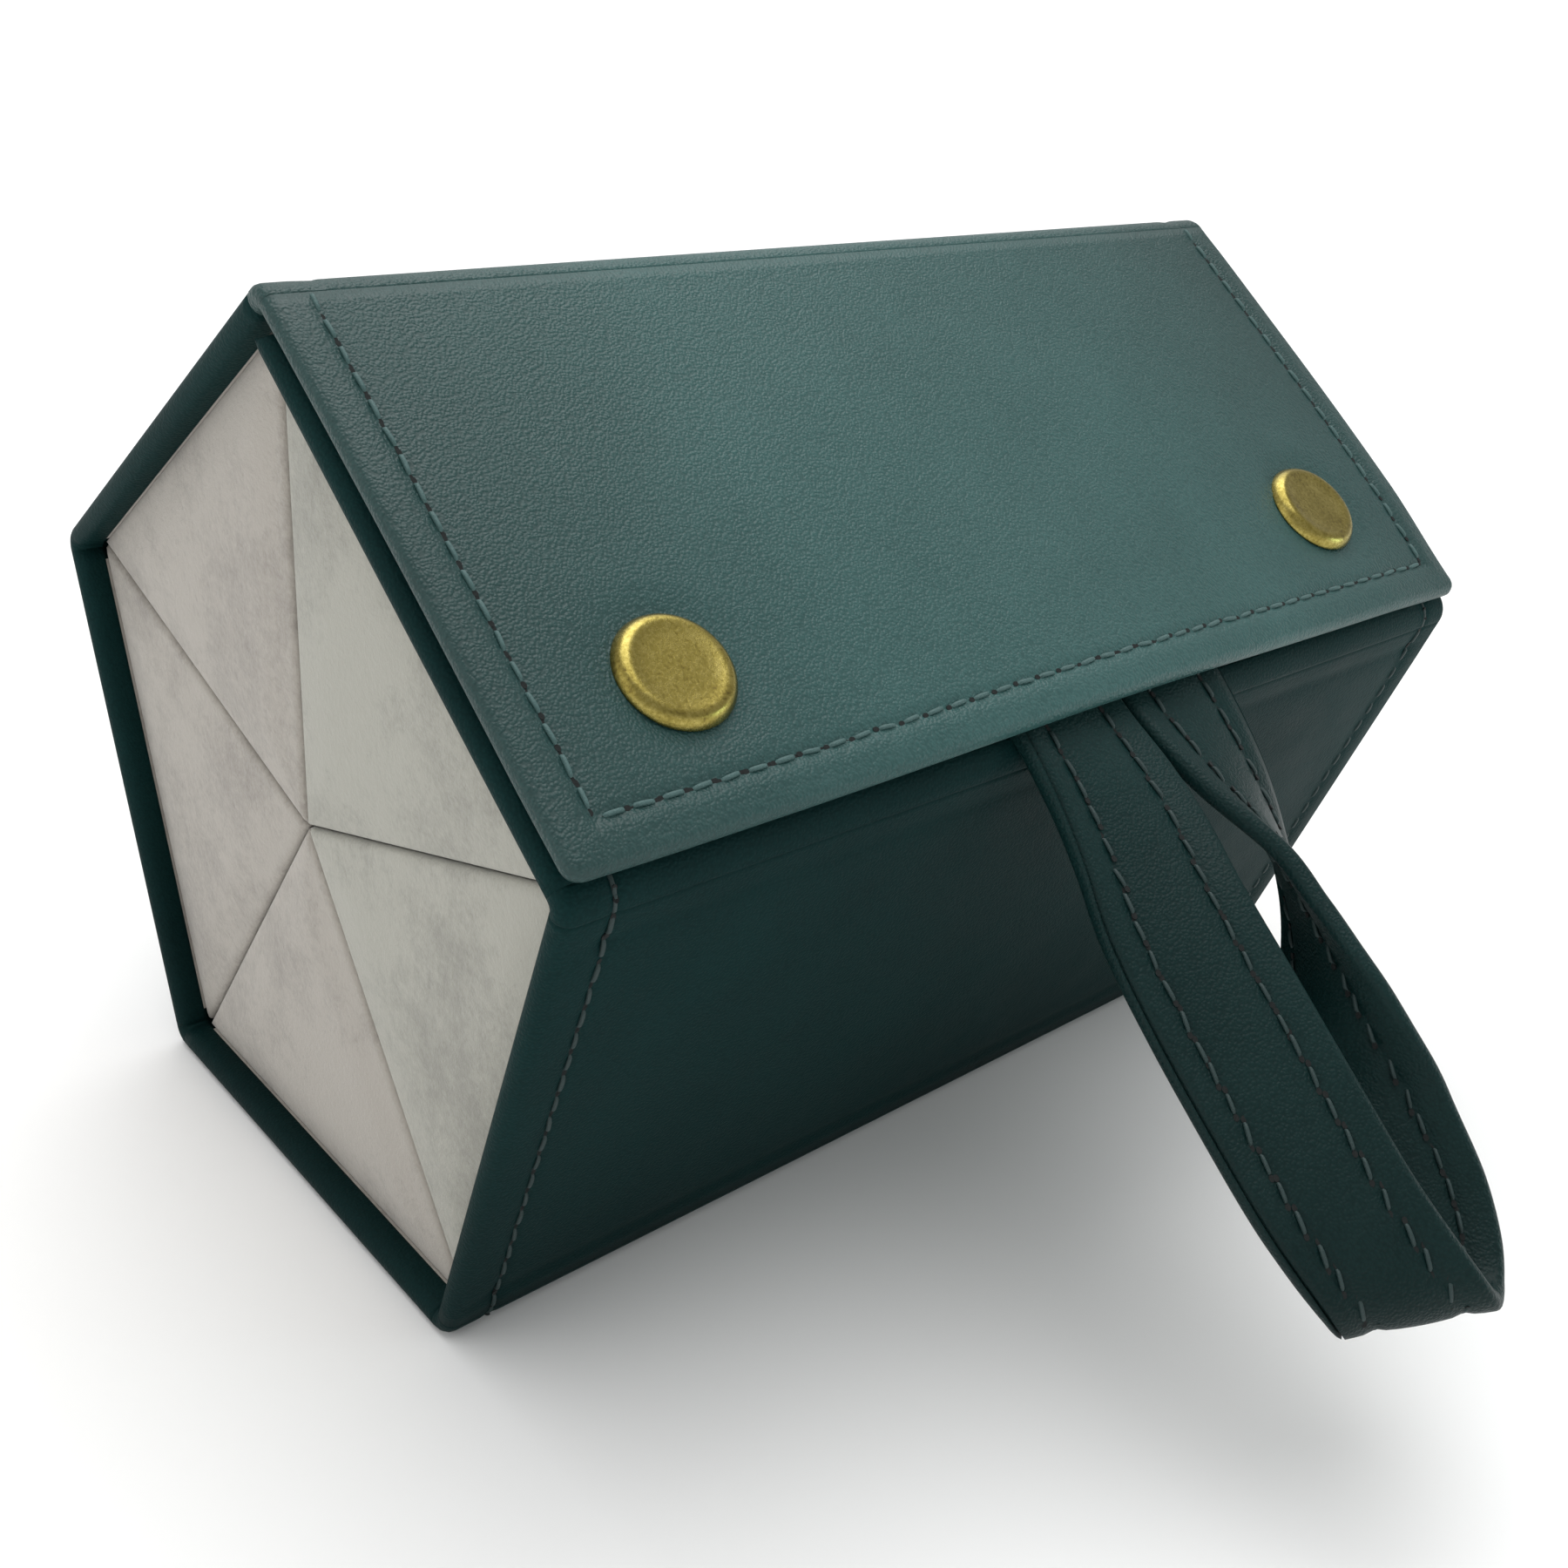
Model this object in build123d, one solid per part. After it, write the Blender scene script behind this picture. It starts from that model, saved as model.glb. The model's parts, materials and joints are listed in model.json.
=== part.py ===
from build123d import *
import math
import os

# Roll-up case of five wedge-shaped compartments, closed by a flap with two snaps.
# Closed, it is a regular pentagonal prism lying on one panel, with its length along Y.
# Millimetres. Origin: middle of the base panel's outer face. +Z up, +X towards the flap's free edge.

# --- Driving dimensions ---
SIDE = 80.0            # width of one panel, corner to corner
LENGTH = 168.0         # length of the case along Y
LEATHER = 1.2          # outer leather
BOARD = 1.4            # greyboard core of a panel
LINING = 0.6           # microfibre inside a compartment
LIP = 0.8              # leather turned in over the panel's end edge
LIP_REACH = 4.0        # how far the turned-in lip reaches, and the end walls' recess
END_WALL = 2.0         # triangular end wall
PARTITION = 1.8        # wall between two compartments
FIT = 0.3              # gap between neighbouring compartments
HINGE_REACH = 4.05     # a corner's leather strip reaches this far each side of the corner
CORNER_RADIUS = 5.0    # outside radius of a bent leather corner

FLAP_GAP = 1.2         # room between the front panel and the flap, for the strap and studs
FLAP_LAYERS = (("flap_inner", 1.0), ("flap_interlining", 0.8), ("flap_outer", 1.0))
FLAP_REACH = 78.4      # from the ridge corner to the flap's free edge
EDGE_SETBACK = 5.0     # the front panel's free edge starts this far below the ridge

SNAP_DROP = 59.5       # snaps, measured down the flap from the ridge corner
SNAP_Y = 60.5          # snaps, each side of the middle
CAP_RADIUS = 7.5
SOCKET_RADIUS = 5.5
STUD_RADIUS = 2.3

STRAP_WIDTH = 20.0
STRAP_THICK = 2.2
STRAP_MIDDLE = 2.7     # the strap's own middle, off the case's middle
STRAP_Y = 10.2         # each strap end, from the strap's middle
TAIL_DROP = 62.0       # the sewn tails start this far down the front panel
STRAP_LIFT = 0.6       # the loop's roots stand this far off the front panel's plane

# The loop from its near root to its far root. Each station gives the distance beyond the front
# panel's lower corner, the place along the case, and the height over the panel's plane, then two
# turns of the band's width in degrees: swung towards the loop's end, twisted out of the plane.
STRAP_STATIONS = (
    (0.8, STRAP_MIDDLE - STRAP_Y, STRAP_LIFT, 0, 0),
    (8, -7.8, 0.8, 1, 7),
    (16, -9.0, 1.0, 3, 14),
    (26, -11.2, 1.0, 6, 22),
    (38, -12.4, 0.9, 9, 27),
    (50, -13.1, 0.7, 12, 28),
    (61, -13.5, 0.5, 14, 27),
    (68, -13.0, 0.3, 16, 28),
    (74.5, -11.6, -0.3, 18, 29),
    (77.3, -9.0, -1.9, 19, 30),
    (76, -5.4, -3.1, 20, 31),
    (71.5, -2.1, -2.6, 22, 32),
    (65, 0.3, -1.8, 22, 35),
    (56, 1.8, -1.4, 18, 46),
    (48, 4.0, -1.5, 12, 76),
    (40, 8.2, -0.8, 6, 108),
    (32, 11.5, -0.2, 3, 128),
    (24, 13.3, 0.2, 0, 141),
    (12, 13.2, 0.5, 0, 165),
    (0.8, STRAP_MIDDLE + STRAP_Y, STRAP_LIFT, 0, 180),
)

# --- Derived sizes ---
TURN = 360 / 5
HALF_TURN = math.radians(TURN / 2)
CENTRE_Z = SIDE / 2 / math.tan(HALF_TURN)
PANEL = LEATHER + BOARD + LINING
HALF = SIDE / 2
HALF_LENGTH = LENGTH / 2
COVER_EDGE = HALF - HINGE_REACH - 0.15
WALL_FACE = HALF_LENGTH - LIP_REACH
FLAP_TOP = FLAP_GAP + sum(thick for _, thick in FLAP_LAYERS)
# The flap lies over the front panel, so its ridge stands off the panels' own corner.
RIDGE_X = HALF - FLAP_TOP / math.tan(2 * HALF_TURN)

# Turns about the case's long axis that carry the base panel to each place.
PANELS = {"base": 0, "front_lower": 1, "front_upper": 2, "rear_upper": 3, "rear_lower": 4}


def block(x, y, z):
    """A box from three (low, high) spans."""
    size = [high - low for low, high in (x, y, z)]
    middle = [(high + low) / 2 for low, high in (x, y, z)]
    return Pos(*middle) * Box(*size)


def prism(points, y_low, y_high):
    """An outline in X and Z, run along Y."""
    outline = make_face(Polyline([(x, 0, z) for x, z in points], close=True))
    return Pos(0, y_low, 0) * extrude(outline, y_high - y_low, dir=(0, 1, 0))


def peg(radius, z_low, z_high, x=0.0, y=0.0):
    """A round peg standing along Z."""
    return Pos(x, y, (z_low + z_high) / 2) * Cylinder(radius, z_high - z_low)


def place(shape, name):
    """Carry a shape drawn on the base panel to another panel's place."""
    return Pos(0, 0, CENTRE_Z) * Rot(0, -TURN * PANELS[name], 0) * Pos(0, 0, -CENTRE_Z) * shape


def save(shape, name):
    solids = shape.solids()
    assert len(solids) == 1, f"{name} has {len(solids)} solids"
    solid = solids[0]
    solid.label = name
    export_step(solid, f"parts/{name}.step")


# --- One compartment, drawn on the base panel ---

def slant_x(z, inset):
    """Half-width of the compartment at height z, measured to its slanting side less an inset."""
    return (CENTRE_Z - z) * math.tan(HALF_TURN) - inset / math.cos(HALF_TURN)


def cover(low, high):
    """Leather face with its two ends turned in over the board."""
    skin = block((low, high), (-HALF_LENGTH, HALF_LENGTH), (0, LEATHER))
    top = PANEL + 0.2
    for end in (-1, 1):
        reach = sorted((end * HALF_LENGTH, end * (HALF_LENGTH - LEATHER)))
        lip = sorted((end * HALF_LENGTH, end * (WALL_FACE + 0.1)))
        edge = COVER_EDGE - 0.5
        left, right = max(low, -edge), min(high, edge)
        skin += block((left, right), reach, (LEATHER, top))
        skin += block((left + 1, right - 1), lip, (top - LIP, top))
    return skin


def board(low, high):
    edge = HALF_LENGTH - LEATHER - 0.05
    return block((low, high), (-edge, edge), (LEATHER, LEATHER + BOARD))


def lining(low, high):
    return block((low, high), (-WALL_FACE, WALL_FACE), (LEATHER + BOARD, PANEL))


def end_wall(side):
    """Triangular wall that closes one end, from the lining up to the case's middle line."""
    outer = side * WALL_FACE
    inner = side * (WALL_FACE - END_WALL)
    points = [
        (-slant_x(PANEL, FIT), PANEL),
        (slant_x(PANEL, FIT), PANEL),
        (0, CENTRE_Z - FIT / math.sin(HALF_TURN)),
    ]
    return prism(points, min(outer, inner), max(outer, inner))


def partition():
    """Wall on the compartment's +X slant, between the two end walls."""
    top = CENTRE_Z - (FIT + PARTITION) / math.sin(HALF_TURN) - 1.0
    points = [
        (slant_x(PANEL, FIT), PANEL),
        (slant_x(top, FIT), top),
        (slant_x(top, FIT + PARTITION), top),
        (slant_x(PANEL, FIT + PARTITION), PANEL),
    ]
    reach = WALL_FACE - END_WALL
    return prism(points, -reach, reach)


def snap_holes(shape, radius, z_low, z_high):
    for side in (-1, 1):
        shape -= peg(radius, z_low, z_high, HALF - SNAP_DROP, side * SNAP_Y)
    return shape


def panel_spans(name):
    """How far the leather, board and lining of each panel reach along X."""
    leather = [-COVER_EDGE, COVER_EDGE]
    core = [-COVER_EDGE + 0.4, COVER_EDGE - 0.4]
    if name == "front_upper":
        leather[1] = HALF - EDGE_SETBACK
        core[1] = HALF - EDGE_SETBACK - LEATHER
    if name == "rear_upper":
        leather[0] = -HALF
    return leather, core


def make_compartment(name):
    leather, core = panel_spans(name)
    pieces = {
        "cover": cover(*leather),
        "board": board(*core),
        "lining": lining(*core),
        "end_wall_near": end_wall(-1),
        "end_wall_far": end_wall(1),
        "partition": partition(),
    }
    if name == "front_upper":
        pieces["cover"] = snap_holes(pieces["cover"], 1.4, -1, LEATHER + 1)
        pieces["board"] = snap_holes(pieces["board"], 1.4, 0, PANEL)
        pieces["board"] = snap_holes(pieces["board"], 4.3, 2.0, PANEL)
    for piece, shape in pieces.items():
        save(place(shape, name), f"{piece}_{name}")


# --- Bent leather at a corner ---

def bent_strip(x, z):
    """Leather bent round a corner at (x, z): a flat that faces down, then a turn up by one panel."""
    outer, inner = CORNER_RADIUS, CORNER_RADIUS - LEATHER
    setback = outer * math.tan(HALF_TURN)
    centre = (x - setback, z + outer)
    reach = HINGE_REACH - setback

    def on_arc(radius, degrees):
        angle = math.radians(degrees - 90)
        return (centre[0] + radius * math.cos(angle), 0, centre[1] + radius * math.sin(angle))

    def along(point, degrees, distance):
        angle = math.radians(degrees)
        return (point[0] + distance * math.cos(angle), 0, point[2] + distance * math.sin(angle))

    o_start, o_mid, o_end = [on_arc(outer, share * TURN) for share in (0, 0.5, 1)]
    i_start, i_mid, i_end = [on_arc(inner, share * TURN) for share in (0, 0.5, 1)]
    outer_lead, inner_lead = along(o_start, 180, reach), along(i_start, 180, reach)
    outer_tail, inner_tail = along(o_end, TURN, reach), along(i_end, TURN, reach)
    edges = [
        Line(outer_lead, o_start),
        ThreePointArc(o_start, o_mid, o_end),
        Line(o_end, outer_tail),
        Line(outer_tail, inner_tail),
        Line(inner_tail, i_end),
        ThreePointArc(i_end, i_mid, i_start),
        Line(i_start, inner_lead),
        Line(inner_lead, outer_lead),
    ]
    outline = make_face(Wire(edges))
    strip = extrude(outline, LENGTH, dir=(0, 1, 0))
    return Pos(0, -HALF_LENGTH, 0) * strip


def make_hinges():
    """Each strip is drawn at the base panel's +X corner, then carried round."""
    for corner, panel in (("d", "base"), ("e", "front_lower"), ("b", "rear_upper"), ("c", "rear_lower")):
        save(place(bent_strip(HALF, 0), panel), f"hinge_{corner}")
    save(place(bent_strip(RIDGE_X, -FLAP_TOP), "front_upper"), "hinge_a")


# --- Flap, drawn over the front upper panel: down the flap is -X, outwards is -Z ---

def make_flap():
    start = RIDGE_X - HINGE_REACH - 0.1
    end = HALF - FLAP_REACH
    level = -FLAP_GAP
    for name, thick in FLAP_LAYERS:
        margin = 0.0 if name == "flap_outer" else 1.0
        y_reach = HALF_LENGTH - margin
        sheet = block((end + margin, start - margin), (-y_reach, y_reach), (level - thick, level))
        hole = 2.2 if name == "flap_outer" else SOCKET_RADIUS + 0.1
        sheet = snap_holes(sheet, hole, level - thick - 1, level + 1)
        save(place(sheet, "front_upper"), name)
        level -= thick


# --- Snaps, drawn with their axis along Z at the origin of their own place ---

def snap_cap():
    """Domed cap with a rolled rim and a hollow rivet post."""
    face = -FLAP_TOP
    dome_height, wall = 1.9, 0.5
    radius = (CAP_RADIUS ** 2 + dome_height ** 2) / (2 * dome_height)
    ball = Pos(0, 0, face - dome_height + radius) * Sphere(radius)
    room = Pos(0, 0, face - dome_height + wall + radius) * Sphere(radius)
    keep = peg(CAP_RADIUS, face - dome_height - 1, face)
    cap = (ball & keep) - (room & peg(CAP_RADIUS - 0.8, face - dome_height, face))
    post = peg(2.0, face - dome_height + wall, -2.75) - peg(1.5, face - 0.6, -2.5)
    return cap + post


def snap_socket():
    """Cup whose mouth takes the stud, riveted on the cap's post."""
    cup = peg(SOCKET_RADIUS, -3.0, -0.75)
    cup -= peg(2.7, -2.6, -0.5)
    return cup - peg(2.1, -3.5, -2.5)


def snap_ring():
    """Split ring spring in the socket, round the stud's neck."""
    ring = peg(2.6, -1.4, -1.0) - peg(2.05, -1.5, -0.9)
    return ring - block((0, 4), (-0.4, 0.4), (-2, 0))


def snap_stud():
    stud = peg(4.5, -0.5, 0) + peg(1.85, -1.6, -0.4) + peg(STUD_RADIUS, -2.4, -1.5)
    return stud - peg(1.2, -2.0, 0.5)


def snap_eyelet():
    """Tube through the panel that holds the stud, with its flange under the lining."""
    return peg(4.2, 2.05, LEATHER + BOARD) + peg(1.15, -1.95, 2.2) - peg(0.8, -2.5, 3.0)


def make_snaps():
    kinds = {
        "snap_cap": snap_cap,
        "snap_socket": snap_socket,
        "snap_ring": snap_ring,
        "snap_stud": snap_stud,
        "snap_eyelet": snap_eyelet,
    }
    for side, where in ((-1, "near"), (1, "far")):
        for kind, make in kinds.items():
            shape = Pos(HALF - SNAP_DROP, side * SNAP_Y, 0) * make()
            save(place(shape, "front_upper"), f"{kind}_{where}")


# --- Carrying strap ---

def make_tails():
    """Thin strap ends sewn on the front upper panel, under the flap."""
    for side, where in ((-1, "near"), (1, "far")):
        middle = STRAP_MIDDLE + side * STRAP_Y
        y = (middle - STRAP_WIDTH / 2, middle + STRAP_WIDTH / 2)
        tail = block((HALF - SIDE + 0.3, HALF - TAIL_DROP), y, (-1.1, 0))
        save(place(tail, "front_upper"), f"strap_tail_{where}")


def strap_frame():
    """The front upper panel's lower corner, its direction down the panel, and its outward normal."""
    corner = Vector(HALF + SIDE * math.cos(2 * HALF_TURN), 0, SIDE * math.sin(2 * HALF_TURN))
    down = Vector(math.cos(HALF_TURN), 0, -math.sin(HALF_TURN))
    out = Vector(math.sin(HALF_TURN), 0, math.cos(HALF_TURN))
    return corner, down, out


def band_width(swing, twist):
    """Direction of the band's width after its two turns, in degrees, from +Y."""
    _, down, out = strap_frame()
    swing, twist = math.radians(swing), math.radians(twist)
    level = Vector(0, math.cos(twist), 0) + out * math.sin(twist)
    return down * math.sin(swing) + level * math.cos(swing)


def make_strap():
    corner, down, out = strap_frame()
    points = [
        corner + down * beyond + Vector(0, y, 0) + out * height
        for beyond, y, height, _, _ in STRAP_STATIONS
    ]
    sections = []
    for i, (point, station) in enumerate(zip(points, STRAP_STATIONS)):
        before, after = points[max(i - 1, 0)], points[min(i + 1, len(points) - 1)]
        across = band_width(*station[3:])
        along = (after - before).normalized()
        along = (along - across * along.dot(across)).normalized()
        section = Rectangle(STRAP_WIDTH, STRAP_THICK)
        sections.append(Plane(origin=point, x_dir=across, z_dir=along) * section)
    save(loft(sections, ruled=True), "strap_loop")


os.makedirs("parts", exist_ok=True)
for panel_name in PANELS:
    make_compartment(panel_name)
make_hinges()
make_flap()
make_snaps()
make_tails()
make_strap()
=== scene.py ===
import json
import math
import random

import bmesh
import bpy
import numpy as np
from mathutils import Matrix, Vector


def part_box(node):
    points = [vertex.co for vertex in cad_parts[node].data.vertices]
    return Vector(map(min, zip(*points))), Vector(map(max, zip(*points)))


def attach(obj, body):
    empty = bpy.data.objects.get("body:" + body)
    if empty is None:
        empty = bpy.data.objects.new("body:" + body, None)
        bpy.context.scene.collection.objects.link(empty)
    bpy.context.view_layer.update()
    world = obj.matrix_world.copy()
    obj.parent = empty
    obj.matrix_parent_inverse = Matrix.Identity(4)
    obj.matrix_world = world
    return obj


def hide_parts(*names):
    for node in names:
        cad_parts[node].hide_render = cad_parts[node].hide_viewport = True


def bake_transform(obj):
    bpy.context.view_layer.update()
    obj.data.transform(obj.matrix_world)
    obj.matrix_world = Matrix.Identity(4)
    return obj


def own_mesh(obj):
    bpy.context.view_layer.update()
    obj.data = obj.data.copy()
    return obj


# A closed roll-up case of five leather panels, with a snap flap and a wrist strap.
# Shapes are drawn in millimetres on the base panel, then carried round to each panel's place.

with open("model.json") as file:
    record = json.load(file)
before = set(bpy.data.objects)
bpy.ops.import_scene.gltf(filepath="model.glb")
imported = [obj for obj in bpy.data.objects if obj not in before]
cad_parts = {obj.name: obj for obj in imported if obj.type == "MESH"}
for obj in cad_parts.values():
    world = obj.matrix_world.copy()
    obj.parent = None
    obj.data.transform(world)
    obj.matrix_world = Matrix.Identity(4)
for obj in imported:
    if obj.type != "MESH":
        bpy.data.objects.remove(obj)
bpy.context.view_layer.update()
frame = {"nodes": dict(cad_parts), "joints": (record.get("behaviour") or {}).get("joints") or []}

MM = 0.001
joints = {joint["name"]: joint for joint in frame["joints"]}


def joint_place(name):
    return Vector(joints[name]["pos_m"]) / MM


# --- Sizes read from the frame ---
SIDE = (joint_place("hinge_d_unroll") - joint_place("hinge_c_unroll")).length
HALF = SIDE / 2
HALF_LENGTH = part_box("cover_base")[1][1] / MM
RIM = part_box("cover_base")[1][2] / MM
WALL_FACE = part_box("end_wall_far_base")[1][1] / MM
WALL_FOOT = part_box("end_wall_far_base")[0][2] / MM
TURN = math.radians(72)
HALF_TURN = TURN / 2
CENTRE_Z = HALF / math.tan(HALF_TURN)

# --- Sizes of soft details ---
CORNER = 3.8           # outside radius of a bent corner
SETBACK = CORNER * math.tan(HALF_TURN)
SKIN = 2.5             # leather and board, inside of the rim
FLAP_TOP = 4.0         # the flap's outer face above the front panel
FLAP_THICK = 2.75
FLAP_REACH = 78.4
RIDGE_DROP = FLAP_TOP / math.tan(TURN)
EDGE_SETBACK = 5.0     # the front panel's free edge, below the ridge
STITCH_PITCH = 3.8
PANEL_ROW = 6.6        # stitch row, in from a panel's end
FLAP_ROW = 5.6         # stitch row, in from the flap's edges
CAP_RADIUS = 7.5
RIM_LIP = 4.2          # depth of the leather turned in at a panel's end
FURROW_DEPTH = 0.30    # a stitch row pulls the leather in by this much
FURROW_WIDTH = 0.8
BEND_STEPS = 14
OUTER = 0.001          # points nearer to the outer face than this are on it
ROUND = [math.pi * i / 8 for i in range(1, 8)]     # turns of a rounded edge, face to face

PANELS = {"base": 0, "front_lower": 1, "front_upper": 2, "rear_upper": 3, "rear_lower": 4}


def carry(points, name):
    """Moves points drawn on the base panel (across, along, depth in) to another, in metres."""
    points = np.asarray(points, float).reshape(-1, 3)
    angle = TURN * PANELS[name]
    x, z = points[:, 0], points[:, 2] - CENTRE_Z
    turned = np.stack(
        [
            x * math.cos(angle) - z * math.sin(angle),
            points[:, 1],
            x * math.sin(angle) + z * math.cos(angle) + CENTRE_Z,
        ],
        axis=1,
    )
    return turned * MM


def make_object(name, points, faces, materials, face_material=None):
    mesh = bpy.data.meshes.new(name)
    mesh.from_pydata([tuple(p) for p in points], [], faces)
    for material in materials:
        mesh.materials.append(material)
    # End caps stay flat, so that pieces that meet end to end shade as one surface.
    mesh.polygons.foreach_set("use_smooth", [len(face.vertices) <= 4 for face in mesh.polygons])
    if face_material is not None:
        mesh.polygons.foreach_set("material_index", face_material)
    mesh.validate()
    mesh.update()
    piece = bpy.data.objects.new(name, mesh)
    bpy.context.scene.collection.objects.link(piece)
    fix_normals(piece)
    return piece


def fix_normals(piece):
    work = bmesh.new()
    work.from_mesh(piece.data)
    bmesh.ops.recalc_face_normals(work, faces=work.faces)
    work.to_mesh(piece.data)
    work.free()


def loft_faces(rows, count):
    """Quads between rings of equal count, and a cap on each end."""
    faces = []
    for i in range(rows - 1):
        for j in range(count):
            a, b = i * count + j, i * count + (j + 1) % count
            faces.append((a, b, b + count, a + count))
    faces.append(tuple(range(count)))
    faces.append(tuple((rows - 1) * count + j for j in reversed(range(count))))
    return faces


def smoothstep(t):
    t = np.clip(t, 0, 1)
    return t * t * (3 - 2 * t)


def swell(distance, place, width):
    """A smooth rise to 1 at one place, for crests and furrows."""
    return np.exp(-(((distance - place) / width) ** 2))


def quarter_round(edge, radius):
    """Share of a rounded edge's full height, this far in from the edge."""
    return 1 - (1 - min(edge / radius, 1)) ** 2


# --- Materials ---

WHITE = (1, 1, 1)
BLACK = (0, 0, 0)


def grey(share):
    return (share, share, share)


def new_material(name):
    material = bpy.data.materials.new(name)
    material.use_nodes = True
    nodes, links = material.node_tree.nodes, material.node_tree.links
    shader = nodes["Principled BSDF"]
    place = nodes.new("ShaderNodeTexCoord")
    return material, nodes, links, shader, place.outputs["Object"]


def noise(nodes, links, place, scale, detail=3.0, roughness=0.55):
    node = nodes.new("ShaderNodeTexNoise")
    node.inputs["Scale"].default_value = scale
    node.inputs["Detail"].default_value = detail
    node.inputs["Roughness"].default_value = roughness
    links.new(place, node.inputs["Vector"])
    return node.outputs["Fac"]


def ramp(nodes, links, source, stops):
    node = nodes.new("ShaderNodeValToRGB")
    elements = node.color_ramp.elements
    while len(elements) < len(stops):
        elements.new(0.5)
    for element, (position, colour) in zip(elements, stops):
        element.position = position
        element.color = (*colour, 1.0)
    links.new(source, node.inputs["Fac"])
    return node.outputs["Color"]


def bump(nodes, links, height, strength, distance, after=None):
    node = nodes.new("ShaderNodeBump")
    node.inputs["Strength"].default_value = strength
    node.inputs["Distance"].default_value = distance
    links.new(height, node.inputs["Height"])
    if after is not None:
        links.new(after, node.inputs["Normal"])
    return node.outputs["Normal"]


def math_node(nodes, links, operation, first, second):
    node = nodes.new("ShaderNodeMath")
    node.operation = operation
    for socket, value in zip(node.inputs, (first, second)):
        if isinstance(value, (int, float)):
            socket.default_value = value
        else:
            links.new(value, socket)
    return node.outputs[0]


def multiply(nodes, links, first, second):
    node = nodes.new("ShaderNodeVectorMath")
    node.operation = "MULTIPLY"
    links.new(first, node.inputs[0])
    links.new(second, node.inputs[1])
    return node.outputs[0]


def graded(nodes, links, value, low, high, first, last):
    """Colour that runs from the first to the last as a value goes from low to high."""
    spread = nodes.new("ShaderNodeMapRange")
    spread.inputs["From Min"].default_value = low
    spread.inputs["From Max"].default_value = high
    links.new(value, spread.inputs["Value"])
    return ramp(nodes, links, spread.outputs["Result"], [(0.0, first), (1.0, last)])


def painted_height_shade(nodes, links, place, low, high, share):
    """Painted shade: white above one height, falling to a darker share at a lower one, in metres.
    """
    split = nodes.new("ShaderNodeSeparateXYZ")
    links.new(place, split.inputs[0])
    return graded(nodes, links, split.outputs["Z"], low, high, grey(share), WHITE)


def painted_end_shade(nodes, links, place, near, far, share):
    """Painted shade: white at the case's middle, falling to a darker share towards its two ends, in
    metres.
    """
    split = nodes.new("ShaderNodeSeparateXYZ")
    links.new(place, split.inputs[0])
    away = math_node(nodes, links, "ABSOLUTE", split.outputs["Y"], 0.0)
    return graded(nodes, links, away, near, far, WHITE, grey(share))


GRAIN_SCALE = 2500         # leather cells to a metre
GRAIN_WARP_SCALE = 700
GRAIN_WARP = 0.0006        # how far the cells are pulled out of shape, in metres
FINE_SCALE = 3200
TONE_SCALE = 16
PATCH_SCALE = 110
# Painted shade and light on the grain: a pebble's top is lifted a little in colour, and the pits
# between are darkened.
PIT_TOP = (1.05, 1.05, 1.05)
PIT_FOOT = (0.80, 0.81, 0.81)


def grain_cells(nodes, links, place):
    """Distance to the middle of a leather cell. The cells are of uneven size and shape."""
    warp = nodes.new("ShaderNodeTexNoise")
    warp.inputs["Scale"].default_value = GRAIN_WARP_SCALE
    links.new(place, warp.inputs["Vector"])
    mix = nodes.new("ShaderNodeVectorMath")
    mix.operation = "MULTIPLY_ADD"
    mix.inputs[1].default_value = grey(GRAIN_WARP)
    links.new(warp.outputs["Color"], mix.inputs[0])
    links.new(place, mix.inputs[2])
    cells = nodes.new("ShaderNodeTexVoronoi")
    cells.feature = "SMOOTH_F1"
    cells.inputs["Scale"].default_value = GRAIN_SCALE
    cells.inputs["Smoothness"].default_value = 0.4
    links.new(mix.outputs[0], cells.inputs["Vector"])
    return cells.outputs["Distance"]


def leather(name, dark, light, roughness, grain, shine, fade=None, ends=None):
    """Pebbled leather: fine soft cells of uneven size, with a slow change of tone, and painted
    shade in the pits between the cells.

    fade is (low, high, share) for the painted shade that darkens lower down, and ends is (near,
    far, share) for the painted shade that darkens towards the case's two ends.
    """
    material, nodes, links, shader, place = new_material(name)
    cells = grain_cells(nodes, links, place)
    pebble = ramp(nodes, links, cells, [(0.15, WHITE), (0.75, BLACK)])
    fine = noise(nodes, links, place, FINE_SCALE, 2.0)
    slow = noise(nodes, links, place, TONE_SCALE)
    patches = noise(nodes, links, place, PATCH_SCALE)
    tone = math_node(nodes, links, "ADD", slow, math_node(nodes, links, "MULTIPLY", patches, 0.25))
    colour = ramp(nodes, links, tone, [(0.45, dark), (0.8, light)])
    # Painted shade in the grain's pits, with a little painted light on the pebble tops.
    pits = ramp(nodes, links, cells, [(0.25, PIT_TOP), (0.85, PIT_FOOT)])
    colour = multiply(nodes, links, colour, pits)
    if fade is not None:
        colour = multiply(nodes, links, colour, painted_height_shade(nodes, links, place, *fade))
    if ends is not None:
        colour = multiply(nodes, links, colour, painted_end_shade(nodes, links, place, *ends))
    links.new(colour, shader.inputs["Base Color"])
    rough = math_node(nodes, links, "MULTIPLY_ADD", patches, 0.16)
    rough.node.inputs[2].default_value = roughness - 0.08
    links.new(rough, shader.inputs["Roughness"])
    shader.inputs["Specular IOR Level"].default_value = shine
    first = bump(nodes, links, pebble, grain, 0.00010)
    second = bump(nodes, links, fine, 0.25, 0.00004, first)
    third = bump(nodes, links, patches, 0.25, 0.0004, second)
    links.new(third, shader.inputs["Normal"])
    return material


BRUSH_SCALE = 38
NAP_SCALE = 1250
MOTTLE_SCALE = 430


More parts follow.
